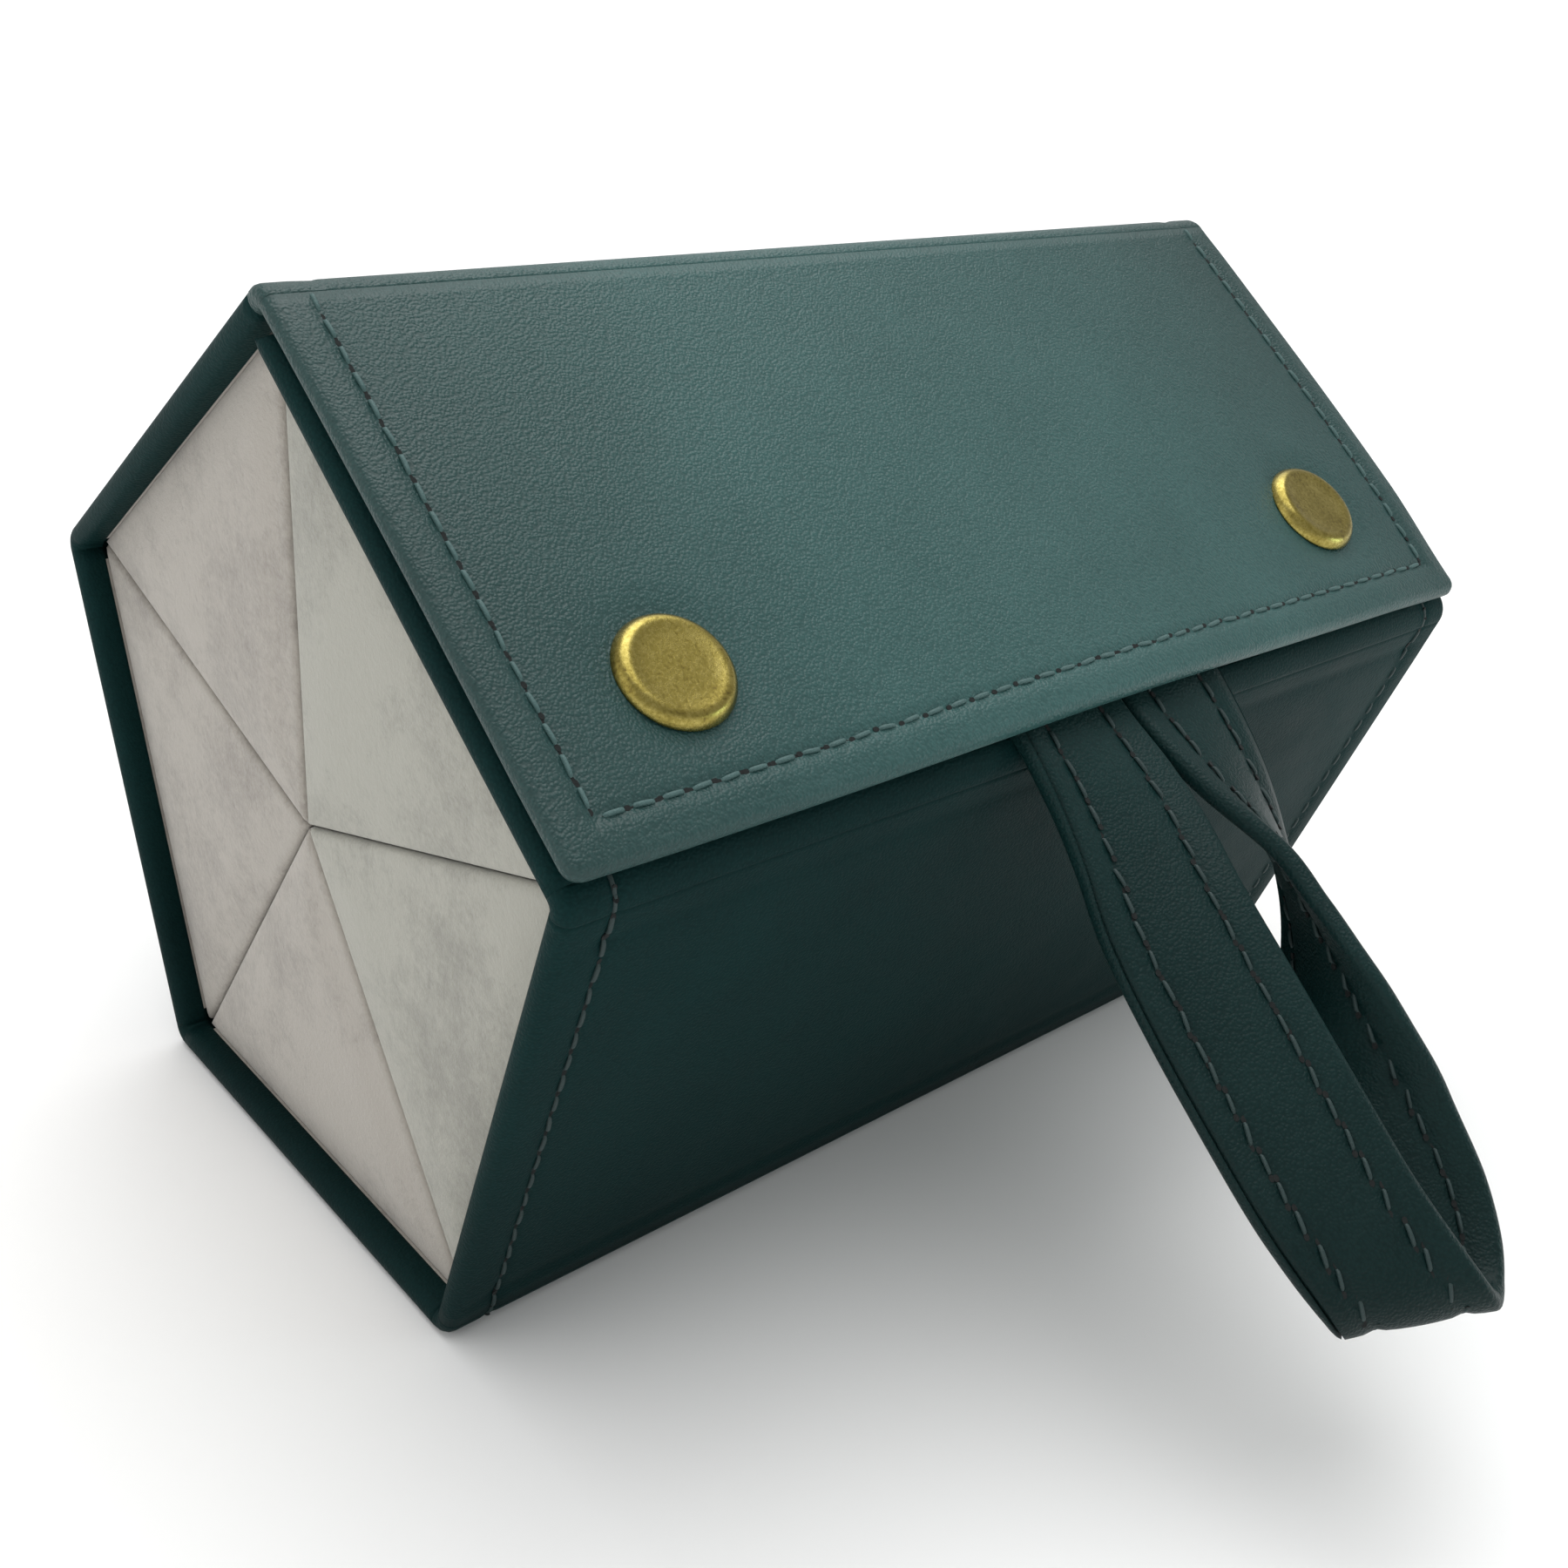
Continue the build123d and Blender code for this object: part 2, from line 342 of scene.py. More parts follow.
def suede(name, dark, light):
    """Microfibre suede: a short nap, mottled where it was brushed, with a soft sheen."""
    material, nodes, links, shader, place = new_material(name)
    slow = noise(nodes, links, place, BRUSH_SCALE, 4.0, 0.6)
    nap = noise(nodes, links, place, NAP_SCALE, 4.0, 0.75)
    mottle = noise(nodes, links, place, MOTTLE_SCALE, 4.0, 0.7)
    fibres = math_node(nodes, links, "ADD", nap, mottle)
    tone = math_node(nodes, links, "ADD", slow, math_node(nodes, links, "MULTIPLY", fibres, 0.45))
    colour = ramp(nodes, links, tone, [(0.74, dark), (1.15, light)])
    links.new(colour, shader.inputs["Base Color"])
    shader.inputs["Roughness"].default_value = 0.95
    shader.inputs["Specular IOR Level"].default_value = 0.12
    shader.inputs["Sheen Weight"].default_value = 0.35
    shader.inputs["Sheen Roughness"].default_value = 0.6
    first = bump(nodes, links, nap, 0.75, 0.00028)
    links.new(bump(nodes, links, slow, 0.3, 0.0012, first), shader.inputs["Normal"])
    return material


SPECK_SCALE = 2100
CLOUD_SCALE = 260


def brass(name, dark, light, patina):
    """Antiqued brass: lacquered yellow metal with brown specks and a darker tone in patches."""
    material, nodes, links, shader, place = new_material(name)
    specks = noise(nodes, links, place, SPECK_SCALE, 5.0, 0.7)
    cloud = noise(nodes, links, place, CLOUD_SCALE, 3.0, 0.6)
    tone = math_node(nodes, links, "ADD", specks, math_node(nodes, links, "MULTIPLY", cloud, 0.5))
    colour = ramp(nodes, links, tone, [(0.55, patina), (0.66, dark), (0.95, light)])
    links.new(colour, shader.inputs["Base Color"])
    shader.inputs["Metallic"].default_value = 1.0
    rough = math_node(nodes, links, "MULTIPLY_ADD", tone, -0.25)
    rough.node.inputs[2].default_value = 0.47
    links.new(rough, shader.inputs["Roughness"])
    links.new(bump(nodes, links, specks, 0.25, 0.0001), shader.inputs["Normal"])
    return material


def plain_matt(name, dark, light, scale, roughness, metallic=0.0):
    material, nodes, links, shader, place = new_material(name)
    grain = noise(nodes, links, place, scale, 4.0, 0.6)
    links.new(ramp(nodes, links, grain, [(0.3, dark), (0.7, light)]), shader.inputs["Base Color"])
    shader.inputs["Roughness"].default_value = roughness
    shader.inputs["Metallic"].default_value = metallic
    links.new(bump(nodes, links, grain, 0.3, 0.0002), shader.inputs["Normal"])
    return material


FLAP_DARK = (0.029, 0.086, 0.082)
FLAP_LIGHT = (0.041, 0.110, 0.105)
# Painted shade: the case is the flap's leather, given a much darker, shaded copy of its colour.
CASE_DARK = (0.0028, 0.0190, 0.0190)
CASE_LIGHT = (0.0048, 0.0272, 0.0268)
STRAP_DARK = (0.0042, 0.0205, 0.0200)
STRAP_LIGHT = (0.0078, 0.0310, 0.0300)

# ends paints shade on the flap, darker towards both ends of the case.
FLAP_LEATHER = leather(
    "flap_leather", FLAP_DARK, FLAP_LIGHT,
    roughness=0.42, grain=0.8, shine=0.28, ends=(0.035, 0.084, 0.52),
)
# The flap's leather as a shaded copy, with painted shade that darkens it further lower down.
CASE_LEATHER = leather(
    "case_leather", CASE_DARK, CASE_LIGHT,
    roughness=0.58, grain=0.5, shine=0.06, fade=(0.0, 0.07, 0.72),
)
# The flap's leather with painted shade, darkening from the ridge down to the case's shaded tone.
REAR_LEATHER = leather(
    "rear_leather_shaded", FLAP_DARK, FLAP_LIGHT,
    roughness=0.46, grain=0.7, shine=0.2, fade=(0.078, 0.124, 0.24),
)
# fade paints shade on the strap, darker lower down.
STRAP_LEATHER = leather(
    "strap_leather", STRAP_DARK, STRAP_LIGHT,
    roughness=0.44, grain=0.6, shine=0.13, fade=(0.022, 0.075, 0.50),
)
SUEDE = suede("microfibre", (0.262, 0.240, 0.212), (0.375, 0.348, 0.308))
SUEDE_COOL = suede("microfibre_cool", (0.250, 0.247, 0.212), (0.355, 0.351, 0.303))
BRASS = brass("antique_brass", (0.25, 0.200, 0.046), (0.42, 0.345, 0.105), (0.15, 0.112, 0.032))
STEEL = plain_matt("spring_steel", (0.42, 0.42, 0.43), (0.58, 0.58, 0.59), 900, 0.35, 1.0)
GREYBOARD = plain_matt("greyboard", (0.30, 0.285, 0.26), (0.42, 0.40, 0.37), 1400, 0.95)
# Shaded and lit copies of one thread: THREAD takes the case leather's painted-shade tone,
# THREAD_FLAP the flap's own tone.
THREAD = plain_matt("thread", (0.006, 0.021, 0.021), (0.014, 0.038, 0.037), 5200, 0.6)
THREAD_FLAP = plain_matt("thread_flap", (0.034, 0.086, 0.083), (0.066, 0.132, 0.128), 5200, 0.6)
# Painted shade: near-black lenses stand for the shade inside the stitch holes.
HOLE = plain_matt("stitch_hole_shade", (0.0015, 0.003, 0.003), (0.003, 0.006, 0.006), 900, 0.9)


# --- Stitches ---

STITCH_RINGS = 7
STITCH_SIDES = 6
STITCH_LEAN = 0.10         # most a stitch turns off its row, in radians
HOLE_SIDES = 8
HOLE_ACROSS = 0.34
HOLE_ALONG = 0.46


def stitch_row(name, spots, thread, radius=0.32, length=3.15):
    """One saddle stitch per spot, with a dark lens of painted hole shade at each end.

    A spot is (point, direction, outward normal), in metres and unit vectors.
    """
    rng = random.Random(name)
    points, faces, kinds = [], [], []
    for point, direction, normal in spots:
        point, direction, normal = (np.asarray(v, float) for v in (point, direction, normal))
        side = np.cross(normal, direction)
        lean = rng.uniform(-STITCH_LEAN, STITCH_LEAN)
        direction = direction * math.cos(lean) + side * math.sin(lean)
        side = np.cross(normal, direction)
        size = rng.uniform(0.94, 1.06)
        start = len(points)
        for i in range(STITCH_RINGS):
            t = i / (STITCH_RINGS - 1) * 2 - 1
            lift = 0.17 - 0.60 * t ** 6
            thick = radius * size * (0.55 + 0.45 * math.sqrt(max(1 - t * t, 0.0)))
            centre = point + (direction * t * length / 2 * size + normal * lift) * MM
            for j in range(STITCH_SIDES):
                a = math.tau * j / STITCH_SIDES
                points.append(centre + (side * math.cos(a) + normal * math.sin(a)) * thick * MM)
        new = [tuple(start + k for k in face) for face in loft_faces(STITCH_RINGS, STITCH_SIDES)]
        faces += new
        kinds += [0] * len(new)
        for end in (-1, 1):
            place = point + direction * end * (length / 2 + 0.12) * MM
            new = hole(points, place, side, direction, normal)
            faces += new
            kinds += [1] * len(new)
    return make_object(name, points, faces, [thread, HOLE], kinds)


def hole(points, centre, side, direction, normal):
    """Painted shade of a stitch hole: a dark, flat closed lens, sunk to its rim."""
    start = len(points)
    for height, size in ((0.05, 1.0), (-0.35, 0.6)):
        for j in range(HOLE_SIDES):
            a = math.tau * j / HOLE_SIDES
            flat = side * math.cos(a) * HOLE_ACROSS + direction * math.sin(a) * HOLE_ALONG
            points.append(centre + (flat * size + normal * height) * MM)
    return [tuple(start + k for k in face) for face in loft_faces(2, HOLE_SIDES)]


def row_spots(name, start, end, depth_of):
    """Stitch spots on a straight line on a panel's outer face, between two (across, along)."""
    start, end = np.asarray(start, float), np.asarray(end, float)
    run = np.linalg.norm(end - start)
    count = max(1, round(run / STITCH_PITCH))
    spots = []
    origin = carry([[0, 0, 0]], name)[0]
    heading = (end - start) / run
    direction = carry([[heading[0], heading[1], 0]], name)[0] - origin
    normal = carry([[0, 0, -1]], name)[0] - origin
    for i in range(count):
        at = start + (end - start) * (i + 0.5) / count
        depth = depth_of(at[0], at[1])
        spots.append((carry([[at[0], at[1], depth]], name)[0], direction / MM, normal / MM))
    return spots


# --- Panels ---

def spaced(low, high, step, dense=(), width=2.0, fine=0.35):
    """Stations from low to high, closer together round each dense place."""
    places = [low]
    while places[-1] < high:
        here = places[-1]
        near = any(abs(here - d) < width for d in dense)
        places.append(here + (fine if near else step))
    places[-1] = high
    return np.array(places)


def rim_loop(thick, inner):
    """Ring of (along, depth) round a panel's cut.

    It has a face, a round end, a turned-in lip, and a thinner back.
    """
    reach, radius = HALF_LENGTH, thick / 2
    face = spaced(-reach + radius, reach - radius, 3.0, (-reach + PANEL_ROW, reach - PANEL_ROW))
    end = [(reach - radius + radius * math.sin(a), radius - radius * math.cos(a)) for a in ROUND]
    back = [
        (reach - radius, thick),
        (reach - RIM_LIP + 0.5, thick),
        (reach - RIM_LIP, thick - 0.3),
        (reach - RIM_LIP - 0.3, inner),
    ]
    ring = [(y, 0.0) for y in face]
    ring += end
    ring += back
    ring += [(-y, depth) for y, depth in reversed(back)]
    ring += [(-y, depth) for y, depth in reversed(end)]
    return np.array(ring)


def channel(distance):
    """Depth of the furrow that a stitch row pulls into the leather."""
    return FURROW_DEPTH * swell(distance, 0, FURROW_WIDTH)


CROWN = 0.45               # the panels' padding stands out by this much
BOARD_EDGE = 0.34          # dip beside the board inside a panel
BOARD_INSET = 4.2
BOARD_DENSE = 4            # the mesh is finer round the board's edge
END_PUFF = 0.28            # fullness outside the stitch row at a panel's end
WAVE = 0.12


def face_depth(across, along, half_across):
    """How far the outer face of a panel stands in from its flat plane.

    It has a soft crown, a dip at the board's edge, a full border, and a furrow at the stitches.
    """
    across, along = np.asarray(across, float), np.asarray(along, float)
    end = HALF_LENGTH - np.abs(along)
    from_corner = half_across - np.abs(across)
    crown = -CROWN * smoothstep(from_corner / 26) * smoothstep((end - 8) / 30)
    board = BOARD_EDGE * swell(from_corner, BOARD_INSET, 1.4) * smoothstep((end - 1.0) / 4)
    puff = -END_PUFF * swell(end, 3.2, 1.8) * smoothstep(end / 1.7) * smoothstep(from_corner / 4)
    wave = WAVE * np.sin(along / 17.0 + across / 11.0)
    wave = wave * smoothstep(from_corner / 12) * smoothstep((end - 9) / 20)
    return crown + board + puff + wave + channel(end - PANEL_ROW)


def panel_span(name):
    low, high = -HALF + SETBACK, HALF - SETBACK
    if name == "front_upper":
        high = HALF - EDGE_SETBACK
    if name == "rear_upper":
        low = -HALF - ridge_gap() + SETBACK
    return low, high


def ridge_gap():
    """How far the ridge stands past the panels' own corner, along the rear panel."""
    return FLAP_TOP / math.sin(TURN)


def build_panel(name):
    low, high = panel_span(name)
    ring = rim_loop(RIM, SKIN)
    across = spaced(low, high, 2.2, (low + BOARD_DENSE, high - BOARD_DENSE), 3.0, 0.7)
    free = name == "front_upper"
    points = []
    for x in across:
        depth = ring[:, 1].copy()
        outer = depth < OUTER
        half = (high - low) / 2
        centred = x - (high + low) / 2
        depth[outer] += face_depth(centred, ring[outer, 0], half)
        if name == "base":
            depth = np.maximum(depth, 0.0)
        if free:
            depth = round_off(depth, high - x)
        points.append(np.stack([np.full(len(ring), x), ring[:, 0], depth], axis=1))
    faces = loft_faces(len(across), len(ring))
    materials, kinds = [CASE_LEATHER], None
    if name == "rear_upper":
        # Painted shade: the leather darkens from the ridge down its outer face.
        on_face = (ring[:, 1] < OUTER) & (np.roll(ring[:, 1], -1) < OUTER)
        kinds = [int(flag) for flag in on_face] * (len(across) - 1) + [0, 0]
        materials.append(REAR_LEATHER)
    points = carry(np.concatenate(points), name)
    piece = make_object(f"panel_{name}", points, faces, materials, kinds)
    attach(piece, name)
    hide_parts(f"cover_{name}")
    stitch_panel(name, low, high)


def round_off(depth, edge):
    """Rounds a panel's thickness off towards a free edge that is this far away."""
    radius = RIM / 2
    share = math.sqrt(max(quarter_round(edge, radius), 0.0004))
    return radius + (depth - radius) * share


def stitch_panel(name, low, high):
    half, middle = (high - low) / 2, (high + low) / 2

    def depth_of(across, along):
        return float(face_depth(across - middle, along, half))

    spots = []
    for end in (-1, 1):
        y = end * (HALF_LENGTH - PANEL_ROW)
        spots += row_spots(name, (low, y), (high, y), depth_of)
    row = stitch_row(f"stitches_{name}", spots, THREAD)
    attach(row, name)


def bend_points(ring, x, z, thick_from, thick_to):
    """Sweeps a panel's cut round a corner at (x, z), through one panel's turn."""
    rows = []
    for i in range(BEND_STEPS + 1):
        angle = TURN * i / BEND_STEPS
        share = smoothstep(i / BEND_STEPS)
        thick = thick_from + (thick_to - thick_from) * share
        depth = ring[:, 1] * thick / thick_from
        depth = depth + channel(HALF_LENGTH - np.abs(ring[:, 0]) - PANEL_ROW) * (ring[:, 1] < OUTER)
        reach = CORNER - depth
        turned_x = x - SETBACK + reach * math.sin(angle)
        turned_z = z + CORNER - reach * math.cos(angle)
        rows.append(np.stack([turned_x, ring[:, 0], turned_z], axis=1))
    return np.concatenate(rows)


def build_corner(letter, before):
    """Bent leather between two panels, drawn at the first one's +X corner."""
    ring = rim_loop(RIM, SKIN)
    points = bend_points(ring, HALF, 0, RIM, RIM)
    faces = loft_faces(BEND_STEPS + 1, len(ring))
    piece = make_object(f"corner_{letter}", carry(points, before), faces, [CASE_LEATHER])
    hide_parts(f"hinge_{letter}")
    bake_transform(piece)
    spots = []
    for side in (-1, 1):
        spots += bend_spots(before, HALF, 0, side * (HALF_LENGTH - PANEL_ROW))
    row = stitch_row(f"stitches_corner_{letter}", spots, THREAD)
    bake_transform(row)


def bend_spots(name, x, z, y):
    """Two stitches round a corner, sunk into its leather."""
    depth = 0.5
    spots = []
    origin = carry([[0, 0, 0]], name)[0]
    for share in (0.25, 0.75):
        a = TURN * share
        reach = CORNER - depth
        turned = (x - SETBACK + reach * math.sin(a), y, z + CORNER - reach * math.cos(a))
        at = carry([turned], name)[0]
        along = carry([[math.cos(a), 0, math.sin(a)]], name)[0] - origin
        out = carry([[math.sin(a), 0, -math.cos(a)]], name)[0] - origin
        spots.append((at, along / MM, out / MM))
    return spots


# --- Flap: drawn over the front upper panel, down the flap is -X and outwards is -Z ---

STRAP_LIFT = 1.3           # the flap rides up over the strap's tucked ends
FAR_DIP = 0.9
NEAR_RISE = 0.25
FLAP_WAVE = 0.21
FLAP_CROWN = 0.5
BORDER_PUFF = 0.22
CAP_DENT = 0.55            # the caps pull the leather in round their edges


def flap_lift(down, along):
    """How far the flap stands off its flat plane: lifted over the strap, dipping at its corners."""
    down, along = np.asarray(down, float), np.asarray(along, float)
    low = smoothstep((down - 38) / 40)
    over_strap = STRAP_LIFT * swell(along, 0, 34) * low
    far_corner = -FAR_DIP * smoothstep((along - 62) / 22) * smoothstep((down - 58) / 20)
    near_corner = NEAR_RISE * smoothstep((-along - 70) / 14) * smoothstep((down - 66) / 12)
    wave = FLAP_WAVE * np.sin(along / 21.0 + 1.0) * smoothstep((down - 8) / 20) * (0.4 + 0.6 * low)
    crown = FLAP_CROWN * np.sin(np.clip(down / FLAP_REACH, 0, 1) * math.pi) ** 1.2
    return over_strap + far_corner + near_corner + wave + crown


def flap_skin(down, along):
    """Puffed border and stitch furrows on the flap's face, as height above its plane."""
    down, along = np.asarray(down, float), np.asarray(along, float)
    end = HALF_LENGTH - np.abs(along)
    foot = FLAP_REACH - down
    puff = BORDER_PUFF * swell(np.minimum(end, foot), 3.4, 1.6)
    side_row = channel(end - FLAP_ROW) * (foot > FLAP_ROW - 0.6)
    foot_row = channel(foot - FLAP_ROW) * (end > FLAP_ROW - 0.6)
    dents = 0.0
    for side in (-1, 1):
        away = np.hypot(down - SNAP_DROP, along - side * SNAP_Y)
        dents = dents + CAP_DENT * swell(away, CAP_RADIUS, 2.2)
    return puff - np.maximum(side_row, foot_row) - dents


def snap_place():
    low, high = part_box("snap_cap_far")
    middle = (Vector(low) + Vector(high)) / 2 / MM
    corner_z = CENTRE_Z + HALF / math.sin(HALF_TURN)
    down = middle.x * math.cos(HALF_TURN) - (middle.z - corner_z) * math.sin(HALF_TURN)
    return down, middle.y


SNAP_DROP, SNAP_Y = snap_place()


FLAP_CORNER = 2.2          # radius of the flap's free corners


def flap_ring(down):
    """Ring of (along, height) round the flap at one distance down it."""
    edge = FLAP_REACH - down
    reach = HALF_LENGTH
    if edge < FLAP_CORNER:
        reach += -FLAP_CORNER + math.sqrt(max(FLAP_CORNER ** 2 - (FLAP_CORNER - edge) ** 2, 0))
    radius = FLAP_THICK / 2
    middle = FLAP_TOP - radius
    rows = (-HALF_LENGTH + FLAP_ROW, HALF_LENGTH - FLAP_ROW)
    face = spaced(-HALF_LENGTH + radius, HALF_LENGTH - radius, 2.4, rows)
    face = face * (reach - radius) / (HALF_LENGTH - radius)
    end = [(reach - radius + radius * math.sin(a), middle + radius * math.cos(a)) for a in ROUND]
    ring = [(y, FLAP_TOP) for y in face]
    ring += end
    ring += [(y, FLAP_TOP - FLAP_THICK) for y in face[::-1]]
    ring += [(-y, height) for y, height in reversed(end)]
    return np.array(ring), len(face)


def flap_point_height(down, along):
    return FLAP_TOP + float(flap_lift(down, along)) + float(flap_skin(down, along))


# Up from the flap's free edge.
FLAP_EDGE_STATIONS = (2.6, 2.4, 2.0, 1.6, 1.2, 0.9, 0.6, 0.35, 0.15, 0.03)


def build_flap():
    start = RIDGE_DROP + SETBACK
    near_edge = [FLAP_REACH - up for up in FLAP_EDGE_STATIONS]
    stations = list(spaced(start, near_edge[0], 1.8, (FLAP_REACH - FLAP_ROW, SNAP_DROP), 4.0, 0.45))
    stations += near_edge[1:]
    points = []
    middle = FLAP_TOP - FLAP_THICK / 2
    for down in stations:
        ring, faces_wide = flap_ring(down)
        height = ring[:, 1].copy()
        blend_in = smoothstep((down - start) / 6)
        lift = flap_lift(down, ring[:, 0]) * blend_in
        height[:faces_wide] += flap_skin(down, ring[:faces_wide, 0]) * blend_in
        height = middle + (height - middle) * edge_share(FLAP_REACH - down)
        height = height + lift
        points.append(np.stack([HALF - np.full(len(ring), down), ring[:, 0], -height], axis=1))
    faces = loft_faces(len(points), len(points[0]))
    piece = make_object("flap", carry(np.concatenate(points), "front_upper"), faces, [FLAP_LEATHER])
    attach(piece, "flap")
    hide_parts("flap_outer", "flap_interlining", "flap_inner")
    build_ridge(start)
    stitch_flap(start)


def edge_share(edge):
    return math.sqrt(max(quarter_round(edge, FLAP_THICK / 2), 0.0))


def build_ridge(start):
    """Leather over the ridge, from the flap round to the rear panel."""
    ring = rim_loop(FLAP_THICK, FLAP_THICK)
    x, z = HALF - RIDGE_DROP, -FLAP_TOP
    points = bend_points(ring, x, z, FLAP_THICK, RIM)
    faces = loft_faces(BEND_STEPS + 1, len(ring))
    piece = make_object("ridge", carry(points, "front_upper"), faces, [FLAP_LEATHER])
    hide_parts("hinge_a")
    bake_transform(piece)


def stitch_flap(start):
    def depth_of(across, along):
        return -flap_point_height(HALF - across, along)

    spots = []
    side = HALF_LENGTH - FLAP_ROW
    foot = HALF - (FLAP_REACH - FLAP_ROW)
    for y in (-side, side):
        spots += row_spots("front_upper", (HALF - start + 0.5, y), (foot + 0.5, y), depth_of)
    spots += row_spots("front_upper", (foot, -side + 0.5), (foot, side - 0.5), depth_of)
    row = stitch_row("stitches_flap", spots, THREAD_FLAP)
    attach(row, "flap")


# --- End walls ---

WALL_GAP = 0.18            # half of the gap between two facets
WALL_GRID = 44
PILLOW_RADIUS = 1.15
PILLOW_RISE = 0.95


def build_end_wall(name, side):
    """Suede facet: a thin triangular pillow with soft edges, a little fuller in its middle."""
    where = "far" if side > 0 else "near"
    rng = random.Random(f"{name}{where}")
    half_width = (CENTRE_Z - WALL_FOOT) * math.tan(HALF_TURN) - WALL_GAP / math.cos(HALF_TURN)
    top = CENTRE_Z - WALL_GAP / math.sin(HALF_TURN)
    left = np.array([-half_width, WALL_FOOT])
    right = np.array([half_width, WALL_FOOT])
    peak = np.array([0, top])
    tilt = rng.uniform(-0.25, 0.25)
    fullness = rng.uniform(0.55, 0.95)
    front, back, index = [], [], {}
    for i in range(WALL_GRID + 1):
        for j in range(WALL_GRID + 1 - i):
            # Squeeze the grid towards the edges, where the pillow turns over.
            to_right, to_peak = ease_edges(i / WALL_GRID, j / WALL_GRID)
            flat = left + (right - left) * to_right + (peak - left) * to_peak
            index[i, j] = len(front)
            edge = edge_distance(flat, half_width, top)
            rise = pillow(edge, fullness) + tilt * flat[0] / half_width * smoothstep(edge / 6)
            front.append((flat[0], side * (WALL_FACE - 1.2 + rise), flat[1]))
            back.append((flat[0], side * (WALL_FACE - 2.0), flat[1]))
    faces = triangle_faces(index, WALL_GRID, len(front))
    material = SUEDE_COOL if name in ("front_upper", "front_lower") else SUEDE
    piece = make_object(f"facet_{where}_{name}", carry(front + back, name), faces, [material])
    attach(piece, name)
    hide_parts(f"end_wall_{where}_{name}")


def ease_edges(a, b):
    """Shares of the grid's second and third corner, eased towards all three edges."""
    c = 1 - a - b

    def ease(t):
        return t * t * (3 - 2 * t)

    total = ease(a) + ease(b) + ease(c)
    return ease(a) / total, ease(b) / total


def edge_distance(flat, half_width, top):
    slope = math.atan2(top - WALL_FOOT, half_width)
    from_foot = flat[1] - WALL_FOOT
    to_slant = (half_width - abs(flat[0])) * math.sin(slope) - from_foot * math.cos(slope)
    return max(min(to_slant, from_foot + 0.35), 0.0)


def pillow(edge, fullness):
    turned = math.sqrt(max(quarter_round(edge, PILLOW_RADIUS), 0))
    return PILLOW_RISE * turned + fullness * float(smoothstep(edge / 9))


def triangle_faces(index, count, offset):
    faces = []
    for i in range(count):
        for j in range(count - i):
            a, b, c = index[i, j], index[i + 1, j], index[i, j + 1]
            faces.append((a, b, c))
            faces.append((a + offset, c + offset, b + offset))
            if i + j < count - 1:
                d = index[i + 1, j + 1]
                faces.append((b, d, c))
                faces.append((b + offset, c + offset, d + offset))
    border = [index[i, 0] for i in range(count)]
    border += [index[count - k, k] for k in range(count)]
    border += [index[0, count - k] for k in range(count)]
    for a, b in zip(border, border[1:] + border[:1]):
        faces.append((a, a + offset, b + offset, b))
    return faces


# --- Snaps ---

# Radius and height over the flap, from the middle of the cap's top round to its post.
CAP_PROFILE = [
    (0.0, 1.44), (1.6, 1.445), (3.2, 1.46), (4.2, 1.49), (4.9, 1.54), (5.4, 1.60), (5.8, 1.63),
    (6.15, 1.60), (6.5, 1.48), (6.85, 1.22), (7.15, 0.86), (7.35, 0.50), (7.47, 0.22), (7.5, 0.06),
    (7.42, -0.04), (7.2, -0.1), (6.4, -0.12), (2.4, -0.12), (2.0, -0.2), (1.9, -1.2),
]
CAP_TURNS = 64
CAP_SEAT = 7               # the cap rests on the flap at this radius
CAP_SEAT_ANGLES = (0, 1.6, 3.1, 4.7)
CAP_GAP = 0.1


def build_cap(side):
    """Cap turned from its profile: a faintly dished middle, a rounded shoulder and a rivet post."""
    where = "far" if side > 0 else "near"
    points = []
    base = flap_base_height(side)
    for radius, height in CAP_PROFILE:
        for k in range(CAP_TURNS):
            a = math.tau * k / CAP_TURNS
            x, y = radius * math.cos(a), radius * math.sin(a)
            points.append((HALF - SNAP_DROP + x, side * SNAP_Y + y, -(base + height)))
    faces = loft_faces(len(CAP_PROFILE), CAP_TURNS)
    piece = make_object(f"cap_{where}", carry(points, "front_upper"), faces, [BRASS])
    piece.modifiers.new("soften", "SUBSURF").render_levels = 1
    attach(piece, "flap")
    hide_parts(f"snap_cap_{where}")


def flap_base_height(side):
    """Height that the cap rests at: the flap's own, averaged round the cap."""
    around = []
    for a in CAP_SEAT_ANGLES:
        down, along = SNAP_DROP + CAP_SEAT * math.cos(a), side * SNAP_Y + CAP_SEAT * math.sin(a)
        around.append(flap_point_height(down, along))
    return sum(around) / len(around) + CAP_GAP


# --- Strap ---

